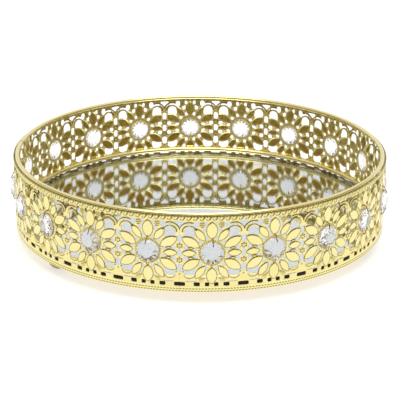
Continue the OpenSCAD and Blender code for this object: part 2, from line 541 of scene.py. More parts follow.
def tube(path: Array, radii: Array, sides: int) -> tuple[Array, Faces]:
    """Carry a circle along a path, and close its two ends.

    Each ring lies across the path's tangent. Its first axis is the one across the path that
    is nearest to a fixed side direction, so the rings don't twist.

    Args:
        path: The centres of the rings.
        radii: The radius of each ring.
        sides: Count of steps round the tube.

    Returns:
        The points and the faces.
    """
    along = np.gradient(path, axis=0)
    along /= np.linalg.norm(along, axis=1, keepdims=True)
    side = np.array([1.0, 0.0, 0.0]) - along * along[:, :1]
    side /= np.linalg.norm(side, axis=1, keepdims=True)
    other = np.cross(along, side)
    turn = np.linspace(0, 2 * math.pi, sides, endpoint=False)
    ring = side[:, None] * np.cos(turn)[:, None] + other[:, None] * np.sin(turn)[:, None]
    body = (path[:, None] + ring * radii[:, None, None]).reshape(-1, 3)
    return np.concatenate([body, path[:1], path[-1:]]), closed_rings(len(path), sides)


def join_parts(parts: list[tuple[Array, Faces]]) -> tuple[Array, Faces]:
    """Put several point and face sets into one, renumbering the faces.

    Args:
        parts: The (points, faces) pairs.

    Returns:
        All the points and all the faces.
    """
    points, faces, base = [], [], 0
    for own_points, own_faces in parts:
        points.append(own_points)
        faces.extend(f + base for f in own_faces)
        base += len(own_points)
    return np.concatenate(points), faces


# ---------------------------------------------------------------- measures from the frame


@dataclass(frozen=True)
class TrayMeasures:
    """Sizes and places read from the CAD frame, in metres."""

    flowers: int
    strips: int
    band_r: float
    flower_z: float
    rim_r: float
    rim_wire: float
    rim_z: float
    mirror_hoop_r: float
    mirror_wire: float
    mirror_hoop_z: float
    glass_low: float
    glass_high: float
    glass_r: float
    crystal_r: float
    crystal_out: float
    crystal_in: float

    @staticmethod
    def read() -> "TrayMeasures":
        """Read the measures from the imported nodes' boxes."""
        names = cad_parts
        strip_low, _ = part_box("gallery_strip_1")
        rim_low, rim_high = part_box("rim_hoop")
        hoop_low, hoop_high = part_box("mirror_hoop")
        glass_low, glass_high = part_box("mirror_glass")
        gem_low, gem_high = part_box("crystal_01")
        rim_wire = (rim_high.z - rim_low.z) / 2
        hoop_wire = (hoop_high.z - hoop_low.z) / 2
        band_r = -strip_low.y
        return TrayMeasures(
            flowers=sum(name.startswith("crystal_") for name in names),
            strips=sum(name.startswith("gallery_strip_") for name in names),
            band_r=band_r,
            flower_z=(gem_low.z + gem_high.z) / 2,
            rim_r=rim_high.x - rim_wire,
            rim_wire=rim_wire,
            rim_z=(rim_high.z + rim_low.z) / 2,
            mirror_hoop_r=hoop_high.x - hoop_wire,
            mirror_wire=hoop_wire,
            mirror_hoop_z=(hoop_high.z + hoop_low.z) / 2,
            glass_low=glass_low.z,
            glass_high=glass_high.z,
            glass_r=glass_high.x,
            crystal_r=(gem_high.x - gem_low.x) / 2,
            crystal_out=-gem_low.y - band_r,
            crystal_in=band_r + gem_high.y,
        )

    @property
    def pitch(self) -> float:
        """Length of band that one flower takes."""
        return 2 * math.pi * self.band_r / self.flowers

    def flower_angle(self, index: int) -> float:
        """Angle of a flower about +Z, from the front of the tray."""
        return 2 * math.pi * index / self.flowers

    def around(self, along: Array, up: Array, out: Array) -> Array:
        """Wrap flat coordinates round the band.

        The angle is the length along the band over the band's radius, counted from -Y towards
        +X; the radius is the band's radius plus the distance out of it.

        Args:
            along: Distance along the band.
            up: Height above the table.
            out: Distance outwards from the band's face.

        Returns:
            Rows of x, y and z.
        """
        turn = along / self.band_r
        radius = self.band_r + out
        return np.stack([radius * np.sin(turn), -radius * np.cos(turn), up], -1)

    def at_flower(self, index: int, points: Array) -> Array:
        """Place points drawn at a flower: x along the band, y up, z outwards.

        Args:
            index: Which flower.
            points: Rows of (x, y, z) from the middle of the flower on the band's face.

        Returns:
            The points in the tray's own frame.
        """
        turn = self.flower_angle(index)
        across = np.array([math.cos(turn), math.sin(turn), 0.0])
        outward = np.array([math.sin(turn), -math.cos(turn), 0.0])
        up = np.array([0.0, 0.0, 1.0])
        centre = outward * self.band_r + up * self.flower_z
        return centre + points[:, :1] * across + points[:, 1:2] * up + points[:, 2:] * outward


# ---------------------------------------------------------------- the stamped pattern


def smooth_step(low: float, high: float, x: Array) -> Array:
    """Rise smoothly from 0 at low to 1 at high: t squared times (3 - 2t)."""
    t = np.clip((x - low) / (high - low), 0, 1)
    return t * t * (3 - 2 * t)


def ridge(distance: Array, half: float) -> Array:
    """Height of a round bead of unit height, at a distance from its middle line."""
    return np.sqrt(np.clip(1 - (distance / half) ** 2, 0, 1))


def stroke(distance: Array, half: float) -> Array:
    """Strength of a soft line: 1 on it, 0 farther than half its width away."""
    return 1 - smooth_step(half * 0.4, half, np.abs(distance))


def press(surface: Array, mark: Array) -> Array:
    """Press a mark into a surface where the mark is sunk, and raise the surface to it elsewhere."""
    return np.where(mark < 0, np.minimum(surface, mark), np.maximum(surface, mark))


@dataclass(frozen=True)
class Leaf:
    """A petal with two pointed tips, in the pattern's millimetres."""

    start: Pair
    end: Pair
    width: float
    rise: float

    def distance(self, x: Array, z: Array) -> Array:
        """Signed distance to the outline, less than 0 inside.

        Both sides are arcs of one radius r = (h*h + b*b) / 2b, with h half the length and b
        half the width. Folding the plane across the leaf's axis leaves one arc to measure to.
        """
        half = math.hypot(self.end[0] - self.start[0], self.end[1] - self.start[1]) / 2
        b = self.width / 2
        r = (half * half + b * b) / (2 * b)
        c = (self.end[0] - self.start[0]) / (2 * half)
        s = (self.end[1] - self.start[1]) / (2 * half)
        dx = x - (self.start[0] + self.end[0]) / 2
        dz = z - (self.start[1] + self.end[1]) / 2
        along = dx * c + dz * s
        across = np.abs(dz * c - dx * s)
        return np.hypot(along, across + r - b) - r


@dataclass(frozen=True)
class Window:
    """A pierced window whose outline is a superellipse, in the pattern's millimetres."""

    x: float
    z: float
    width: float
    height: float
    power: float = 2.0

    def distance(self, x: Array, z: Array) -> Array:
        """Signed distance to the outline, less than 0 inside, close enough near the edge."""
        a, b = self.width / 2, self.height / 2
        reach = (np.abs(x - self.x) / a) ** self.power + (np.abs(z - self.z) / b) ** self.power
        return (reach ** (1 / self.power) - 1) * min(a, b)


@dataclass(frozen=True)
class Relief:
    """The pattern at a set of points.

    The metal is where body > 0. The height and the creases are the outer face's, the back and
    the marks are the inner face's. Creases and marks are painted shade, darkening grooves, dots and gaps.
    """

    body: Array
    height: Array
    crease: Array
    satin: Array | float = 0.0
    back: Array | float = 0.0
    marks: Array | float = 0.0


@dataclass(frozen=True)
class Openwork:
    """Every opening in the sheet: the windows, the notches and the crescents.

    A notch between two arches is cut level at the top. A crescent lies between an inner arch
    and the outer one over it.
    """

    windows: tuple[Window, ...] = (
        Window(13.6, 12.6, 7.0, 8.2, 2.6),
        Window(13.4, -12.5, 7.7, 6.2, 3.0),
        Window(3.0, 10.3, 2.6, 2.8),
        Window(7.0, 7.7, 2.6, 2.6),
        Window(10.1, 2.7, 3.1, 2.8),
        Window(10.1, -2.6, 3.1, 2.8),
        Window(7.1, -7.2, 2.6, 2.8),
        Window(3.0, -9.7, 2.5, 2.8),
        Window(15.9, 3.5, 3.4, 3.0, 2.2),
        Window(16.0, -3.5, 3.4, 3.0, 2.2),
        Window(4.75, 15.6, 2.7, 3.8),
        Window(4.7, -15.0, 2.5, 3.6),
        Window(3.1, 19.4, 2.2, 3.0, 2.2),
        Window(9.3, 18.7, 3.4, 4.4, 2.4),
        Window(19.635, 9.3, 3.3, 5.2, 3.0),
        Window(19.635, -0.1, 3.1, 4.9, 2.6),
        Window(19.635, -9.8, 3.8, 5.4, 3.0),
        Window(2.8, -20.45, 2.8, 2.6, 4.0),
        Window(9.1, -20.45, 3.8, 2.6, 5.0),
        Window(19.635, -20.45, 6.8, 2.6, 8.0),
        Window(12.4, -18.6, 6.6, 0.7, 5.0),
    )
    notch: Window = Window(19.635, 19.0, 6.9, 5.4)
    notch_top: float = 20.8
    crescent: Pair = (13.7, 13.3)
    crescent_r: float = 5.07
    crescent_half: float = 0.6
    crescent_side: float = 15.9
    crescent_foot: float = 14.3

    def body(self, a: Array, z: Array) -> Array:
        """Distance into the metal from the nearest opening, less than 0 in an opening."""
        body = np.full_like(a, UNCUT)
        for window in self.windows:
            body = np.minimum(body, window.distance(a, z))
        body = np.minimum(body, np.maximum(self.notch.distance(a, z), z - self.notch_top))
        rho = np.hypot(a - self.crescent[0], z - self.crescent[1])
        ring = np.abs(rho - self.crescent_r) - self.crescent_half
        ends = np.maximum(a - self.crescent_side, self.crescent_foot - z)
        return np.minimum(body, np.maximum(ring, ends))


@dataclass(frozen=True)
class Petals:
    """The flower's petals, with a line of painted shade round each; on the inner face they are sunk and
    darkened with painted shade.
    """

    leaves: tuple[Leaf, ...] = (
        Leaf((0, 9.4), (0, 20.2), 6.3, 0.28),
        Leaf((0, -9.6), (0, -20.0), 6.1, 0.28),
        Leaf((4.3, 8.2), (10.1, 15.8), 4.1, 0.26),
        Leaf((4.3, -8.4), (9.9, -16.4), 4.2, 0.26),
        Leaf((7.8, 4.1), (18.0, 10.2), 5.8, 0.28),
        Leaf((7.8, -4.2), (17.7, -10.7), 5.8, 0.28),
        Leaf((9.8, 0), (18.0, 0), 4.2, 0.26),
        Leaf((11.2, 3.2), (14.4, 3.4), 1.0, 0.3),
        Leaf((11.2, -3.1), (14.4, -3.3), 1.0, 0.3),
    )
    rim: float = 0.3
    edge: Pair = (-0.05, 0.35)
    swell: float = 0.2
    groove: float = 0.05
    groove_half: float = 0.42
    line_at: float = 0.18
    line_half: float = 0.32
    shade: float = 0.1
    satin_edge: Pair = (0.05, 0.35)
    back_groove: float = 0.35
    back_sink: float = 1.5
    back_shade: float = 0.22
    back_fade: Pair = (-15.4, -14.6)

    def relief(self, a: Array, z: Array) -> Relief:
        """Work out the petals' relief."""
        body = np.full_like(a, -UNCUT)
        height, back, crease, marks = (np.zeros_like(a) for _ in range(4))
        satin = np.ones_like(a)
        above_hoop = smooth_step(*self.back_fade, z)
        for leaf in self.leaves:
            d = leaf.distance(a, z)
            body = np.maximum(body, self.rim - d)
            edge = smooth_step(*self.edge, -d)
            dome = (1 - self.swell) * edge + self.swell * smooth_step(0, leaf.width / 2, -d)
            outline = stroke(d - self.rim, self.groove_half)
            height = np.maximum(height, leaf.rise * dome) - self.groove * outline
            back = np.maximum(back, self.back_sink * leaf.rise * edge)
            back = back - self.back_groove * outline * above_hoop
            # Painted shade: a dark line along each outline and a faint darkening over the petal, and on
            # the inner face over the sunk petal
            crease = np.maximum(crease, stroke(d - self.line_at, self.line_half))
            crease = np.maximum(crease, self.shade * edge)
            marks = np.maximum(marks, self.back_shade * edge)
            satin = np.minimum(satin, smooth_step(*self.satin_edge, d))
        return Relief(body, height, crease, satin, back, marks)


@dataclass(frozen=True)
class Arches:
    """Two thin arches over each upper window, and a scalloped line of painted shadow under each lower
    one.

    An arch is a ring cut level at its foot, with a painted shadow line outside it. The outer one is also
    cut short on the flower's side.
    """

    middle: Pair = (13.7, 13.3)
    rise: float = 0.5
    foot_fade: Pair = (12.6, 13.6)
    line_half: float = 0.36
    inner_r: float = 3.9
    inner_half: float = 0.55
    inner_bead: float = 0.6
    inner_foot: float = 12.6
    inner_line: float = 4.5
    inner_line_fade: Pair = (13.6, 15.0)
    outer_r: float = 6.2
    outer_half: float = 0.52
    outer_bead: float = 0.65
    outer_foot: float = 13.2
    outer_side: float = 11.2
    outer_side_fade: Pair = (10.8, 11.6)
    outer_line: float = 6.6
    outer_line_fade: Pair = (14.6, 15.6)
    scallop_z: float = -12.8
    scallop_half: float = 0.32
    scallop_fade: Pair = (-15.2, -14.6)

    def relief(self, a: Array, z: Array) -> Relief:
        """Work out the arches' relief."""
        rho = np.hypot(a - self.middle[0], z - self.middle[1])
        inner = np.maximum(np.abs(rho - self.inner_r) - self.inner_half, self.inner_foot - z)
        outer = np.maximum(np.abs(rho - self.outer_r) - self.outer_half, self.outer_foot - z)
        outer = np.maximum(outer, self.outer_side - a)
        beyond = smooth_step(*self.outer_side_fade, a)
        beads = np.maximum(
            ridge(rho - self.inner_r, self.inner_bead),
            ridge(rho - self.outer_r, self.outer_bead) * beyond,
        )
        height = self.rise * beads * smooth_step(*self.foot_fade, z)
        # Painted shadow: dark lines outside the two arches and along the scallop
        dark_inner = stroke(rho - self.inner_line, self.line_half)
        dark_inner = dark_inner * smooth_step(*self.inner_line_fade, z)
        dark_outer = stroke(rho - self.outer_line, self.line_half)
        dark_outer = dark_outer * smooth_step(*self.outer_line_fade, z) * beyond
        scallop = np.hypot(a - self.middle[0], z - self.scallop_z) - self.inner_r
        scallop = stroke(scallop, self.scallop_half) * (1 - smooth_step(*self.scallop_fade, z))
        crease = np.maximum(np.maximum(dark_inner, dark_outer), scallop)
        return Relief(np.maximum(-inner, -outer), height, crease)


@dataclass(frozen=True)
class Scrolls:
    """A barred coil on each side of the top petal, and a curl on each side of the bottom one."""

    coil: Pair = (5.9, 18.4)
    coil_r: float = 1.75
    coil_squash: float = 0.85
    coil_edge: Pair = (1.5, 1.85)
    coil_rise: float = 0.4
    bar_step: float = 1.2
    bar_slant: float = 0.12
    bar_edge: Pair = (0.12, 0.34)
    bar_depth: float = 0.7
    curl: Pair = (6.4, -17.9)
    curl_edge: Pair = (1.3, 1.8)
    curl_rise: float = 0.35
    turn_step: float = 0.85
    turn_twist: float = 0.42
    turn_edge: Pair = (0.05, 0.22)
    turn_dark: float = 0.7

    def relief(self, a: Array, z: Array) -> Relief:
        """Work out the scrolls' relief: bars across the coil, and a spiral line in the curl."""
        dx, dz = a - self.coil[0], z - self.coil[1]
        q = np.hypot(dx, dz * self.coil_squash)
        inside = 1 - smooth_step(*self.coil_edge, q)
        half = self.bar_step / 2
        bars = np.mod(dz + self.bar_slant * dx + half, self.bar_step) - half
        groove = (1 - smooth_step(*self.bar_edge, np.abs(bars))) * inside
        dx, dz = a - self.curl[0], z - self.curl[1]
        r = np.hypot(dx, dz)
        curled = 1 - smooth_step(*self.curl_edge, r)
        spiral = np.mod(r + self.turn_twist * np.arctan2(dz, dx) / math.pi, self.turn_step)
        line = (1 - smooth_step(*self.turn_edge, np.abs(spiral - self.turn_twist))) * curled
        coil = self.coil_rise * inside * (1 - self.bar_depth * groove)
        height = np.maximum(coil, self.curl_rise * curled)
        # The grooves between the bars and the spiral line are darkened with painted shade
        return Relief(self.coil_r - q, height, np.maximum(groove, self.turn_dark * line))


@dataclass(frozen=True)
class Rosettes:
    """A raised knob among six sunk dots of painted shade in each rosette between two flowers, and single
    dimples drawn only as painted shade.
    """

    x: float = 19.635
    heights: Pair = (4.7, -4.7)
    knob_r: float = 0.85
    knob_rise: float = 0.5
    dots: int = 6
    dot_reach: Pair = (1.5, 1.4)
    dot_edge: Pair = (0.36, 0.7)
    dot_depth: float = 0.3
    dimples: tuple[Pair, ...] = ((0.0, 15.8), (1.8, 14.2), (2.1, -12.4), (0.0, -13.8))
    dimple_edge: Pair = (0.3, 0.65)

    def relief(self, a: Array, z: Array) -> Relief:
        """Work out the rosettes' relief; a dimple's place is (distance before x, height)."""
        height = np.zeros_like(a)
        crease = np.zeros_like(a)
        for middle in self.heights:
            knob = ridge(np.hypot(a - self.x, z - middle), self.knob_r)
            height = np.maximum(height, self.knob_rise * knob)
            for k in range(self.dots):
                turn = 2 * math.pi * (k + 0.5) / self.dots
                dot_x = self.x + self.dot_reach[0] * math.cos(turn)
                dot_z = middle + self.dot_reach[1] * math.sin(turn)
                dot = 1 - smooth_step(*self.dot_edge, np.hypot(a - dot_x, z - dot_z))
                # Each dot is sunk and darkened with painted shade
                crease = np.maximum(crease, dot)
                height = height - self.dot_depth * dot
        # The dimples have no depth; each is only a spot of painted shade
        for before, middle in self.dimples:
            far = np.hypot(a - self.x + before, z - middle)
            crease = np.maximum(crease, 1 - smooth_step(*self.dimple_edge, far))
        return Relief(np.full_like(a, -UNCUT), height, crease)


@dataclass(frozen=True)
class Borders:
    """The running scroll along the top edge and the dotted strip along the bottom edge.

    Each mark of the scroll is the lower half of a small ring and a slanted stroke, sunk and darkened
    with painted shade. Along the seam with the rim wire runs a dashed line of painted shadow.
    """

    bottom: float = -25.76
    scroll_step: float = 3.927
    scroll_start: float = 0.3
    bowl: Pair = (-0.15, 22.35)
    bowl_r: float = 0.95
    bowl_fade: Pair = (22.2, 22.7)
    slant: Pair = (0.6, 22.0)
    slant_lean: float = 0.95
    slant_squash: float = 0.72
    slant_start: Pair = (21.9, 22.2)
    slant_stop: Pair = (23.6, 23.9)
    line_half: float = 0.3
    rail_edge: Pair = (20.95, 21.5)
    rail_rise: float = 0.6
    mark_depth: float = 0.75
    strip_edge: Pair = (-22.5, -22.0)
    strip_rise: float = 0.12
    dot_step: float = 1.9635
    dot_row: float = 1.5
    dot_slant: float = 0.9
    dot_squash: Pair = (0.72, 1.15)
    dot_edge: Pair = (0.34, 0.66)
    dot_depth: float = 0.9
    dot_fade: Pair = (-22.6, -22.3)
    seam_z: float = 23.6
    seam_half: float = 0.55
    dash_edge: Pair = (0.25, 0.6)
    dash_fade: float = 0.6

    def relief(self, u: Array, z: Array) -> Relief:
        """Work out the borders' relief."""
        w = np.mod(u + self.scroll_start, self.scroll_step) - self.scroll_step / 2
        bowl = np.hypot(w - self.bowl[0], z - self.bowl[1]) - self.bowl_r
        bowl = stroke(bowl, self.line_half) * (1 - smooth_step(*self.bowl_fade, z))
        slant = (w - self.slant[0]) - (z - self.slant[1]) * self.slant_lean
        slant = stroke(slant * self.slant_squash, self.line_half)
        slant = slant * smooth_step(*self.slant_start, z) * (1 - smooth_step(*self.slant_stop, z))
        mark = np.maximum(bowl, slant)
        rail = self.rail_rise * smooth_step(*self.rail_edge, z) * (1 - self.mark_depth * mark)
        low = 1 - smooth_step(*self.strip_edge, z)
        gx = np.mod(u + z * self.dot_slant, self.dot_step) - self.dot_step / 2
        gz = np.mod(z - self.bottom, self.dot_row) - self.dot_row / 2
        far = np.hypot(gx * self.dot_squash[0], gz * self.dot_squash[1])
        dots = (1 - smooth_step(*self.dot_edge, far)) * low
        height = np.maximum(rail, self.strip_rise * low * (1 - self.dot_depth * dots))
        # Painted shade in the scroll's marks and the dots, and in dashes along the seam under the rim
        # wire
        crease = np.maximum(mark, dots * (1 - smooth_step(*self.dot_fade, z)))
        saw = np.abs(np.mod(u, self.dot_step) / self.dot_step - 0.5) * 2
        dashes = 1 - self.dash_fade * smooth_step(*self.dash_edge, saw)
        crease = np.maximum(crease, stroke(z - self.seam_z, self.seam_half) * dashes)
        return Relief(np.full_like(u, -UNCUT), height, crease)


@dataclass(frozen=True)
class Collar:
    """The milled collar round the crystal: a bead whose height ripples round the ring."""

    r: float = 7.9
    half: float = 0.6
    edge: float = 8.6
    rise: float = 0.5
    least: float = 0.35
    beads: int = 36
    # Strength of the painted shade in the gaps between beads
    dark: float = 0.75
    dark_reach: Pair = (0.4, 0.65)
    dark_gap: Pair = (0.1, 0.42)

    def relief(self, u: Array, z: Array) -> Relief:
        """Work out the collar's relief, with painted shade in the gap between each two beads."""
        r = np.hypot(u, z)
        ripple = 0.5 + 0.5 * np.cos(self.beads * np.arctan2(z, u))
        bead = self.rise * ridge(r - self.r, self.half)
        height = bead * (self.least + (1 - self.least) * ripple)
        near = 1 - smooth_step(*self.dark_reach, np.abs(r - self.r))
        crease = self.dark * (1 - smooth_step(*self.dark_gap, ripple)) * near
        return Relief(self.edge - r, height, crease)


@dataclass(frozen=True)
class FlowerPattern:
    """One repeat of the band's pattern, in millimetres from the middle of a flower.

    Every shape is drawn for x >= 0 and mirrored, apart from the borders' scroll and dots.
    """

    pitch: float = 39.27
    top: float = 23.74
    bottom: float = -25.76
    seat: float = 7.0
    openwork: Openwork = Openwork()
    petals: Petals = Petals()
    arches: Arches = Arches()
    scrolls: Scrolls = Scrolls()
    rosettes: Rosettes = Rosettes()
    borders: Borders = Borders()
    collar: Collar = Collar()
    satin_fade: Pair = (-22.6, -22.0)
    # Shares of the painted shade that the inner face takes from the layers and from the collar
    back_marks: float = 0.85
    ring_marks: float = 0.5

    def evaluate(self, along: Array, up: Array) -> Relief:
        """Work out the pattern.

        Args:
            along: Millimetres along the band from the middle of any flower.
            up: Millimetres above the flowers' middle.

        Returns:
            The relief at each point.
        """
        u = np.mod(along + self.pitch / 2, self.pitch) - self.pitch / 2
        a = np.abs(u)
        petals = self.petals.relief(a, up)
        body = np.maximum(self.openwork.body(a, up), petals.body)
        height, back, crease, marks = petals.height, petals.back, petals.crease, petals.marks
        for layer in (
            self.arches.relief(a, up),
            self.scrolls.relief(a, up),
            self.borders.relief(u, up),
            self.rosettes.relief(a, up),
        ):
            body = np.maximum(body, layer.body)
            height = press(height, layer.height)
            back = press(back, layer.height)
            crease = np.maximum(crease, layer.crease)
            marks = np.maximum(marks, self.back_marks * layer.crease)
        ring = self.collar.relief(u, up)
        body = np.minimum(np.maximum(body, ring.body), np.hypot(u, up) - self.seat)
        body = np.minimum(body, np.minimum(self.top - up, up - self.bottom))
        height = np.maximum(height, ring.height)
        back = np.maximum(back, ring.height)
        crease = np.maximum(crease, ring.crease)
        marks = np.maximum(marks, self.ring_marks * ring.crease)
        satin = np.minimum(petals.satin, smooth_step(*self.satin_fade, up))
        return Relief(body, height, crease, satin, back, marks)


# ---------------------------------------------------------------- the band


class CellCases:
    """How a grid cell is cut by the edge of the metal, for each set of corners inside it.

    Walking round a cell gives its inside corners and the points where an edge is crossed, so
    the metal in it is one polygon. Local points 0 to 3 are corners and 4 to 7 are crossings
    on the bottom, right, top and left edges.
    """

    def __init__(self) -> None:
        """Work out the polygon, its fan of triangles and its cut edges for all 16 cases."""
        self.triangles: dict[int, list[tuple[int, int, int]]] = {}
        self.cuts: dict[int, list[tuple[int, int]]] = {}
        for case in range(1, 16):
            inside = [bool(case >> k & 1) for k in range(4)]
            walk = []
            for k in range(4):
                if inside[k]:
                    walk.append(k)
                if inside[k] != inside[(k + 1) % 4]:
                    walk.append(4 + k)
            self.triangles[case] = [(walk[0], walk[k], walk[k + 1]) for k in range(1, len(walk) - 1)]
            pairs = zip(walk, walk[1:] + walk[:1])
            self.cuts[case] = [
                (p, q) for p, q in pairs if p > 3 and q > 3 and not inside[(p - 4 + 1) % 4]
            ]


@dataclass(frozen=True)
class FlatSheet:
    """The metal of one strip before it is bent: points in millimetres, triangles, cut edges."""

    u: Array
    v: Array
    triangles: Array
    cuts: Array


@dataclass
class Gallery:
    """The pierced band, as strips of flowers stamped from sheet.

    On the grid that the metal is cut from, no value is nearer to 0 than least, and no crossing
    is nearer to a corner than nearest, as a share of a cell.
    """

    measures: TrayMeasures
    pattern: FlowerPattern
    cell_mm: float = 0.36
    sheet_mm: float = 0.6
    joint_mm: float = 0.05
    least: float = 1e-4
    nearest: float = 0.03
    back_satin: float = 1.0
    front_satin: float = 0.5
    sharp_deg: float = 58.0

    def build(self, material: Material) -> list[Object]:
        """Build every strip.

        Args:
            material: The band's gold.

        Returns:
            One piece for each strip.
        """
        cases = CellCases()
        return [self.strip(index, cases, material) for index in range(self.measures.strips)]

    def strip(self, index: int, cases: CellCases, material: Material) -> Object:
        """Build one strip.

        The sheet's two faces are the flat mesh lifted by the relief and wrapped round the
        band, and walls join them along every edge.

        Args:
            index: Which strip, counted from the front.
            cases: The table of cell cases.
            material: The band's gold.

        Returns:
            The strip.
        """
        p, m = self.pattern, self.measures
        flowers = m.flowers // m.strips
        left = (index * flowers - 0.5) * p.pitch
        sheet = self.cut_sheet(left, left + flowers * p.pitch, cases)
        relief = p.evaluate(sheet.u, sheet.v)
        along = sheet.u * MM * (m.pitch / MM / p.pitch)
        height = m.flower_z + sheet.v * MM
        front = m.around(along, height, relief.height * MM)
        back = m.around(along, height, (relief.back - self.sheet_mm) * MM)
        count = len(sheet.u)
        start, end = sheet.cuts[:, 0], sheet.cuts[:, 1]
        walls = np.stack([end, start, start + count, end + count], 1)
        satin = [relief.satin * self.front_satin, relief.satin * self.back_satin]
        # Painted shade: on the outer face from the creases, on the inner face from the marks
        masks = {
            PAINTED_SHADE: np.concatenate([relief.crease, relief.marks]),
            SATIN: np.concatenate(satin),
        }
        return make_piece(
            f"gallery_relief_{index + 1}",
            np.concatenate([front, back]),
            [sheet.triangles, sheet.triangles[:, ::-1] + count, walls],
            material,
            [f"gallery_strip_{index + 1}"],
            self.sharp_deg,
            masks,
        )

    def cut_sheet(self, left: float, right: float, cases: CellCases) -> FlatSheet:
        """Cut one strip's metal out of the flat.

        The pattern is worked out on a grid. Cells that the edge of the metal crosses are cut
        along it, with the crossing found by linear interpolation and kept a little away from
        the cell's corners.

        Args:
            left: Where the strip starts along the band, in the pattern's millimetres.
            right: Where it ends.
            cases: The table of cell cases.

        Returns:
            The flat mesh.
        """
        p = self.pattern
        columns = round((right - left) / self.cell_mm) + 1
        rows = round((p.top - p.bottom) / self.cell_mm) + 1
        margin = self.cell_mm / 2
        us = np.linspace(left - margin, right + margin, columns)
        vs = np.linspace(p.bottom - margin, p.top + margin, rows)
        u, v = np.meshgrid(us, vs)
        joint = np.minimum(u - left, right - u) - self.joint_mm
        f = np.minimum(p.evaluate(u, v).body, joint)
        f = np.where(np.abs(f) < self.least, self.least, f)
        inside = f > 0

        # Points: the grid's own, then the crossings along rows, then those along columns
        across_t = f[:, :-1] / (f[:, :-1] - f[:, 1:] + 1e-12)
        upward_t = f[:-1] / (f[:-1] - f[1:] + 1e-12)
        across_t = np.clip(across_t, self.nearest, 1 - self.nearest)
        upward_t = np.clip(upward_t, self.nearest, 1 - self.nearest)
        across_u = u[:, :-1] + across_t * (us[1] - us[0])
        upward_v = v[:-1] + upward_t * (vs[1] - vs[0])
        flat_u = np.concatenate([u.ravel(), across_u.ravel(), u[:-1].ravel()])
        flat_v = np.concatenate([v.ravel(), v[:, :-1].ravel(), upward_v.ravel()])

        # The eight point numbers of each cell, in the order of its cases
        corner = np.arange(u.size).reshape(rows, columns)
        across = u.size + np.arange(across_u.size).reshape(rows, columns - 1)
        upward = u.size + across_u.size + np.arange(upward_v.size).reshape(rows - 1, columns)
        corners = [corner[:-1, :-1], corner[:-1, 1:], corner[1:, 1:], corner[1:, :-1]]
        crossings = [across[:-1], upward[:, 1:], across[1:], upward[:, :-1]]
        local = np.stack(corners + crossings, -1).reshape(-1, 8)
        bits = inside[:-1, :-1] + 2 * inside[:-1, 1:] + 4 * inside[1:, 1:] + 8 * inside[1:, :-1]
        bits = bits.ravel()
        triangles, cuts = [], []
        for case, fan in cases.triangles.items():
            cells = local[bits == case]
            triangles += [cells[:, list(t)] for t in fan]
            cuts += [cells[:, list(c)] for c in cases.cuts[case]]
        used, numbers = np.unique(np.concatenate(triangles), return_inverse=True)
        cuts = np.searchsorted(used, np.concatenate(cuts))
        return FlatSheet(flat_u[used], flat_v[used], numbers.reshape(-1, 3), cuts)


# ---------------------------------------------------------------- hoops, mirror, crystals


@dataclass
class Hoops:
    """The wire hoops at the band's top edge and round the mirror."""

    measures: TrayMeasures
    segments: int = 1000
    sides: int = 28
    butt_deg: float = 171.0
    butt_width_deg: float = 0.35
    butt_depth: float = 0.05
    butt_shade: float = 12.0
    butt_darkest: float = 0.7
    wander_mm: float = 0.04
    waves: tuple[tuple[float, int, float], ...] = ((0.5, 3, 0.4), (0.3, 7, 1.9))
    seam_at: float = -0.15
    seam_half: float = 0.4
    dashes: int = 200
    dash_fade: float = 0.3
    rim_seam_shade: float = 0.65
    mirror_seam_shade: float = 0.3
    sharp_deg: float = 60.0

    def build(self, material: Material) -> list[Object]:
        """Build both hoops from their wire's radius, their own radius and their height."""
        m = self.measures
        rim = self.points(m.rim_r, m.rim_wire, m.rim_z)
        hoop = self.points(m.mirror_hoop_r, m.mirror_wire, m.mirror_hoop_z)
        return [
            self.hoop("rim_wire", rim, "rim_hoop", self.rim_seam_shade, material),
            self.hoop("mirror_wire", hoop, "mirror_hoop", self.mirror_seam_shade, material),
        ]

    @property
    def turn(self) -> Array:
        """Angles round the tray."""
        return np.linspace(0, 2 * math.pi, self.segments, endpoint=False)

    @property
    def section(self) -> Array:
        """Angles round the wire."""
        return np.linspace(0, 2 * math.pi, self.sides, endpoint=False)

    @property
    def butt(self) -> Array:
        """Depth of the filed notch at the butt joint, as a share of the wire, round the tray."""
        off = np.degrees(np.angle(np.exp(1j * (self.turn - math.radians(self.butt_deg)))))
        return self.butt_depth * np.exp(-((off / self.butt_width_deg) ** 2))

    def points(self, radius: float, wire: float, z: float) -> Array:
        """Carry a circle round a circle, thinner at the butt joint.

        The centre line wanders by a few hundredths of a millimetre, as a bent hoop's does.

        Args:
            radius: Radius of the hoop's centre line.
            wire: Radius of the wire.
            z: Height of the centre line.

        Returns:
            The points, ring after ring.
        """
        own = wire * (1 - self.butt)[:, None]
        wander = sum(size * np.sin(count * self.turn + start) for size, count, start in self.waves)
        r = radius - np.abs(self.wander_mm * MM * wander)[:, None] + own * np.cos(self.section)
        x = r * np.cos(self.turn)[:, None]
        y = r * np.sin(self.turn)[:, None]
        return np.stack([x, y, z + own * np.sin(self.section)], -1).reshape(-1, 3)

    def hoop(self, name: str, points: Array, node: str, seam_shade: float, material: Material) -> Object:
        """Build one hoop, with painted shade in its butt joint and in dashes along its seam with the
        band.

        Args:
            name: The piece's name.
            points: Its points, ring after ring.
            node: The CAD node that it replaces.
            seam_shade: How dark the painted shade is in the seam where the wire meets the band, 0 to 1.
            material: The hoop's gold.

        Returns:
            The hoop.
        """
        # Painted shade in the crevice where the wire meets the band, in dashes, and in the butt notch
        seam = stroke(np.angle(np.exp(1j * (self.section - self.seam_at))), self.seam_half)
        dashes = 1 - self.dash_fade + self.dash_fade * np.cos(self.dashes * self.turn)
        notch = np.clip(self.butt * self.butt_shade, 0, self.butt_darkest)
        crease = np.maximum(notch[:, None], seam_shade * dashes[:, None] * seam)
        quads = grid_quads(self.segments, self.sides, True, True)[:, ::-1]
        masks = {PAINTED_SHADE: crease.ravel()}
        return make_piece(
            name, points, [quads], material, [node], self.sharp_deg, masks
        )


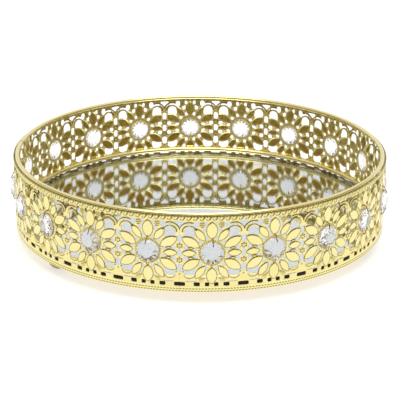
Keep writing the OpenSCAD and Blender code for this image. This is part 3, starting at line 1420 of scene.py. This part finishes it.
@dataclass
class Mirror:
    """The glass with its silvered back."""

    measures: TrayMeasures
    segments: int = 256
    arris_mm: float = 0.4
    silver_mm: float = 0.03
    sharp_deg: float = 20.0

    def build(self, glass: Material, silver: Material) -> list[Object]:
        """Build the glass and the coating behind it.

        Args:
            glass: The glass's material.
            silver: The coating's material.

        Returns:
            The two pieces.
        """
        m = self.measures
        arris, skin = self.arris_mm * MM, self.silver_mm * MM
        r, edge, middle = m.glass_r, m.glass_r - arris, m.glass_r / 2
        low, high = m.glass_low + 2 * skin, m.glass_high
        under = [[0, low], [middle, low], [r - arris / 2, low], [r, low + arris / 2]]
        over = [[r, high - arris], [edge, high], [middle, high], [0, high]]
        coat = [[0, m.glass_low], [edge, m.glass_low], [edge, m.glass_low + skin]]
        coat.append([0, m.glass_low + skin])
        pieces = []
        for name, profile, material, replaces in (
            ("mirror_plate", under + over, glass, ["mirror_glass"]),
            ("mirror_coating", coat, silver, []),
        ):
            points, faces = lathe(np.array(profile), self.segments)
            pieces.append(
                make_piece(name, points, faces, material, replaces, self.sharp_deg)
            )
        return pieces


@dataclass
class Crystals:
    """The cut stones, one in each flower."""

    measures: TrayMeasures
    sides: int = 12
    table_share: float = 0.5
    shoulder_share: float = 0.79
    shoulder_rise: float = 0.62
    girdle_mm: float = 0.8
    back_mm: float = 0.12
    seat_share: float = 0.93
    culet_share: float = 0.86
    tilt_deg: float = 3.0
    seed: int = 20

    def build(self, material: Material) -> list[Object]:
        """Build each stone, turned and tilted a little in its own way by a fixed seed."""
        rng = np.random.default_rng(self.seed)
        pieces = []
        for index in range(self.measures.flowers):
            spin, tilt, lean = rng.uniform(-1, 1, 3)
            pieces.append(self.stone(index, spin * math.pi, tilt, lean, material))
        return pieces

    def stone(self, index: int, spin: float, tilt: float, lean: float, material: Material) -> Object:
        """Cut one stone.

        Rings of points lie at the table, the shoulder, both edges of the girdle, the seat and
        the culet. The shoulder's points stand between the table's, which makes star facets
        above it and kites and triangles below it, as on a brilliant.

        Args:
            index: Which flower it sits in.
            spin: Turn about its own axis.
            tilt: Tilt sideways, -1 to 1 of the largest.
            lean: Tilt up or down, -1 to 1 of the largest.
            material: The crystal's material.

        Returns:
            The stone.
        """
        m, n = self.measures, self.sides
        r = m.crystal_r
        back = self.back_mm * MM
        crown = back + self.girdle_mm * MM
        shoulder_z = crown + (m.crystal_out - crown) * self.shoulder_rise
        ring_sizes = [
            (r * self.table_share, m.crystal_out, n, 0.0),
            (r * self.shoulder_share, shoulder_z, n, 0.5),
            (r, crown, 2 * n, 0.0),
            (r, back, 2 * n, 0.0),
            (r * self.seat_share, back, 2 * n, 0.0),
            (r * self.culet_share, -m.crystal_in, n, 0.0),
        ]
        rings, starts, base = [], [], 0
        for radius, z, count, offset in ring_sizes:
            turn = 2 * math.pi * (np.arange(count) + offset) / count + spin
            x, y = radius * np.cos(turn), radius * np.sin(turn)
            rings.append(np.stack([x, y, np.full(count, z)], 1))
            starts.append(base)
            base += count
        points = np.concatenate(rings)
        k = np.arange(n)
        nxt = (k + 1) % n
        table, shoulder, girdle, girdle_low, seat, culet = starts
        stars = np.stack([table + k, shoulder + k, table + nxt], 1)
        kites = np.stack([table + k, shoulder + (k - 1) % n, girdle + 2 * k, shoulder + k], 1)
        half = (2 * k + 1) % (2 * n)
        left = np.stack([shoulder + k, girdle + 2 * k, girdle + half], 1)
        right = np.stack([shoulder + k, girdle + half, girdle + (2 * k + 2) % (2 * n)], 1)
        j = np.arange(2 * n)
        j2 = (j + 1) % (2 * n)
        band = np.stack([girdle + j, girdle_low + j, girdle_low + j2, girdle + j2], 1)
        shelf = np.stack([girdle_low + j, seat + j, seat + j2, girdle_low + j2], 1)
        mains_a = np.stack([seat + 2 * k, culet + k, seat + half], 1)
        mains_b = np.stack([seat + half, culet + k, culet + nxt], 1)
        mains_c = np.stack([seat + half, culet + nxt, seat + (2 * k + 2) % (2 * n)], 1)
        faces = [
            (table + k)[None], stars, kites, left, right, band, shelf, mains_a, mains_b, mains_c,
            (culet + k)[None, ::-1],
        ]
        tip = math.radians(self.tilt_deg)
        turned = Matrix.Rotation(tilt * tip, 3, "Y") @ Matrix.Rotation(lean * tip, 3, "X")
        points = points @ np.array(turned).T
        return make_piece(
            f"cut_crystal_{index + 1:02d}",
            m.at_flower(index, points),
            faces,
            material,
            [f"crystal_{index + 1:02d}"],
            sharp_deg=None,
        )


@dataclass
class Pins:
    """The wire pins that hold the crystals."""

    measures: TrayMeasures
    wire_mm: float = 0.34
    bends: tuple[Pair, ...] = (
        (9.6, -1.1),
        (9.6, 1.0),
        (8.6, 1.5),
        (7.4, 1.9),
        (6.2, 2.55),
        (5.0, 3.2),
    )
    tip: tuple[float, ...] = (0.95, 0.8, 0.45)
    rings: int = 22
    sides: int = 10
    sway_deg: float = 9.0
    shift_mm: float = 0.4
    seed: int = 7
    sharp_deg: float = 60.0

    def build(self, material: Material) -> list[Object]:
        """Build both rows of pins."""
        return [self.row(side, material) for side in Side]

    def row(self, side: Side, material: Material) -> Object:
        """Bend one row of pins.

        Each pin comes out of its hole in the sheet, over the crystal's girdle and down on its
        crown. The bends are (distance from the flower's middle, distance out), rounded off by
        averaging each point with its neighbours twice. A seeded draw sways and shifts each one.

        Args:
            side: Above or below the crystals.
            material: The pins' gold.

        Returns:
            The row, as one piece of separate wires.
        """
        m = self.measures
        rng = np.random.default_rng(self.seed + side.value)
        corners = np.array(self.bends)
        steps = np.linspace(0, len(corners) - 1, self.rings)
        radial, out = (np.interp(steps, np.arange(len(corners)), column) for column in corners.T)
        kernel = np.array([0.25, 0.5, 0.25])
        for _ in range(2):
            radial[1:-1] = np.convolve(radial, kernel, "same")[1:-1]
            out[1:-1] = np.convolve(out, kernel, "same")[1:-1]
        taper = np.concatenate([np.ones(self.rings - len(self.tip)), self.tip])
        parts = []
        for index in range(m.flowers):
            sway = math.radians(rng.uniform(-1, 1) * self.sway_deg)
            shift = self.shift_mm * rng.uniform(-1, 1)
            sideways = shift + (radial - radial[0]) * math.tan(sway)
            path = np.stack([sideways, side.value * radial, out], 1) * MM
            points, faces = tube(path, self.wire_mm * MM * taper, self.sides)
            if side is Side.UPPER:
                faces = [f[:, ::-1] for f in faces]
            parts.append((m.at_flower(index, points), faces))
        points, faces = join_parts(parts)
        name, node = f"{side.name.lower()}_pin_wires", f"{side.name.lower()}_pins"
        return make_piece(name, points, faces, material, [node], self.sharp_deg)


@dataclass
class Feet:
    """The three bun feet."""

    segments: int = 96
    rings: int = 22
    sole_share: float = 0.34
    lip_shares: Pair = (0.86, 0.96)
    lip_mm: float = 0.04
    sharp_deg: float = 35.0

    def build(self, material: Material) -> list[Object]:
        """Build a foot over each CAD foot."""
        names = [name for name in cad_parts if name.startswith("foot_")]
        return [self.foot(name, material) for name in sorted(names) if name[-1].isdigit()]

    def foot(self, node: str, material: Material) -> Object:
        """Turn one foot: a ball's arc between a flat sole with a small radius and a flat top.

        Args:
            node: The CAD node that it replaces.
            material: The foot's gold.

        Returns:
            The foot.
        """
        low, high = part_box(node)
        centre = (low + high) / 2
        ball = (high.x - low.x) / 2
        sole = self.sole_share * ball
        lift = math.sqrt(ball**2 - sole**2)
        tall = high.z - low.z
        start, end = -math.asin(lift / ball), math.asin(min(1.0, (tall - lift) / ball))
        arc = np.linspace(start, end, self.rings)
        profile = np.stack([ball * np.cos(arc), lift + ball * np.sin(arc)], 1)
        flat, rise = (share * sole for share in self.lip_shares)
        lip = np.array([[0.0, 0.0], [flat, 0.0], [rise, self.lip_mm * MM]])
        top = [[profile[-1, 0] / 2, tall], [0.0, tall]]
        profile = np.concatenate([lip, profile[1:], top])
        points, faces = lathe(profile, self.segments)
        points += np.array([centre.x, centre.y, low.z])
        name = f"bun_{node}"
        return make_piece(name, points, faces, material, [node], self.sharp_deg)


@dataclass
class CarriedNodes:
    """CAD nodes that stay as they are and only get a finish."""

    def dress(self, materials: dict[str, Material]) -> None:
        """Give each carried node its material.

        Args:
            materials: Node name to material.
        """
        for name, material in materials.items():
            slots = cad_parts[name].data.materials
            slots.clear()
            slots.append(material)
            LOG.info("%s: carried over in %s", name, material.name)


# ---------------------------------------------------------------- studio


@dataclass
class Studio:
    """Floor, light and camera."""

    measures: TrayMeasures
    floor_size: float = 12.0
    floor_glow: float = 0.6
    floor_paint: float = 0.5
    floor_mottle: float = 3.0
    floor_rough: Pair = (0.62, 0.70)
    camera_azimuth_deg: float = -3.517
    camera_elevation_deg: float = 20.661
    camera_roll_deg: float = 0.345
    camera_distance: float = 1.01727
    lens_mm: float = 133.4
    target_side_mm: float = 0.249
    target_below_flower_mm: float = 12.653
    sensor_mm: float = 36.0
    sight: float = 50.0
    dim_light: Colour = (0.30, 0.185, 0.062)
    bright_light: Colour = (0.88, 0.87, 0.885)
    behind: Pair = (0.1, 0.75)
    above: Pair = (0.36, 0.6)
    lamp_place: tuple[float, float, float] = (0.0, -0.3, 1.5)
    lamp_aim: tuple[float, float, float] = (0.0, 0.0, 0.03)
    lamp_size: float = 1.4
    lamp_watts: float = 12.0

    def build(self) -> None:
        """Build the whole studio."""
        self.floor()
        self.world()
        self.lamp()
        self.camera()

    def floor(self) -> None:
        """Lay a pale floor, half painted and half lit from within, with faintly mottled gloss."""
        half = self.floor_size / 2
        mesh = bpy.data.meshes.new("floor")
        corners = [(x * half, y * half, 0) for x, y in ((-1, -1), (1, -1), (1, 1), (-1, 1))]
        mesh.from_pydata(corners, [], [(0, 1, 2, 3)])
        floor = bpy.data.objects.new("floor", mesh)
        bpy.context.scene.collection.objects.link(floor)
        material, shader, place = new_material("floor_pale")
        tree = material.node_tree
        low, high = self.floor_rough
        noise = add_node(tree, "ShaderNodeTexNoise", {"Scale": self.floor_mottle})
        ramp = add_node(tree, "ShaderNodeMapRange", {"To Min": low, "To Max": high})
        link = tree.links.new
        link(place.outputs["Object"], noise.inputs["Vector"])
        link(noise.outputs["Fac"], ramp.inputs["Value"])
        link(ramp.outputs["Result"], shader.inputs["Roughness"])
        shader.inputs["Base Color"].default_value = (*[self.floor_paint] * 3, 1)
        shader.inputs["Emission Color"].default_value = (1, 1, 1, 1)
        shader.inputs["Emission Strength"].default_value = self.floor_glow
        mesh.materials.append(material)

    def world(self) -> None:
        """Light all round, bright behind the tray and overhead, dimmer on the camera's side."""
        world = bpy.data.worlds.new("studio")
        bpy.context.scene.world = world
        world.use_nodes = True
        tree = world.node_tree
        link = tree.links.new
        place = add_node(tree, "ShaderNodeTexCoord")
        split = add_node(tree, "ShaderNodeSeparateXYZ")
        most = add_node(tree, "ShaderNodeMath")
        most.operation = "MAXIMUM"
        tone = add_blend(tree, {6: (*self.dim_light, 1), 7: (*self.bright_light, 1)})
        link(place.outputs["Generated"], split.inputs[0])
        for slot, (axis, limits) in enumerate((("Y", self.behind), ("Z", self.above))):
            values = {"From Min": limits[0], "From Max": limits[1]}
            ramp = add_node(tree, "ShaderNodeMapRange", values)
            ramp.interpolation_type = "SMOOTHSTEP"
            link(split.outputs[axis], ramp.inputs["Value"])
            link(ramp.outputs["Result"], most.inputs[slot])
        link(most.outputs[0], tone.inputs[0])
        link(tone.outputs[2], tree.nodes["Background"].inputs["Color"])

    def lamp(self) -> None:
        """Hang one broad, soft disc of light overhead, aimed at the tray."""
        lamp = bpy.data.lights.new("overhead", "AREA")
        lamp.shape = "DISK"
        lamp.size = self.lamp_size
        lamp.energy = self.lamp_watts
        holder = bpy.data.objects.new("overhead", lamp)
        holder.location = self.lamp_place
        aim = Vector(self.lamp_aim) - Vector(self.lamp_place)
        holder.rotation_euler = aim.to_track_quat("-Z", "Y").to_euler()
        bpy.context.scene.collection.objects.link(holder)

    def camera(self) -> None:
        """Stand the camera at its azimuth, elevation, distance and slight roll."""
        azimuth = math.radians(self.camera_azimuth_deg)
        elevation = math.radians(self.camera_elevation_deg)
        roll = math.radians(self.camera_roll_deg)
        right = Vector((math.cos(azimuth), math.sin(azimuth), 0))
        level = Vector((-math.sin(azimuth), math.cos(azimuth), 0))
        forward = level * math.cos(elevation) - Vector((0, 0, math.sin(elevation)))
        up = right.cross(forward)
        target = right * self.target_side_mm * MM
        target.z = self.measures.flower_z - self.target_below_flower_mm * MM
        place = target - forward * self.camera_distance
        across = right * math.cos(roll) + up * math.sin(roll)
        top = up * math.cos(roll) - right * math.sin(roll)
        lens = bpy.data.cameras.new("camera")
        lens.lens = self.lens_mm
        lens.sensor_width = self.sensor_mm
        lens.clip_end = self.sight
        camera = bpy.data.objects.new("camera", lens)
        axes = Matrix((across, top, -forward)).transposed()
        camera.matrix_world = Matrix.Translation(place) @ axes.to_4x4()
        bpy.context.scene.collection.objects.link(camera)
        bpy.context.scene.camera = camera


def main() -> None:
    """Build the tray's pieces in order, dress them and set up the studio."""
    logging.basicConfig(level=logging.INFO, format="%(name)s: %(message)s")
    bpy.context.scene.view_settings.view_transform = "Standard"
    measures = TrayMeasures.read()
    groups = SharedGroups(polish_group(), tone_and_shade_group())
    Gallery(measures, FlowerPattern()).build(GALLERY_GOLD.material(groups))
    Hoops(measures).build(HOOP_GOLD.material(groups))
    Mirror(measures).build(MIRROR_GLASS.material(groups), SILVERING.material(groups))
    Crystals(measures).build(CUT_CRYSTAL.material(groups))
    Pins(measures).build(PIN_GOLD.material(groups))
    Feet().build(SHADED_FOOT_GOLD.material(groups))
    CarriedNodes().dress(
        {
            "base_pan": PAN_GOLD.material(groups),
            "backing_pad": BLACK_FOAM.material(groups),
            "edge_seal": BLACK_SEAL.material(groups),
            "foot_screws": SCREW_STEEL.material(groups),
        }
    )
    Studio(measures).build()


if __name__ == "__main__":
    main()
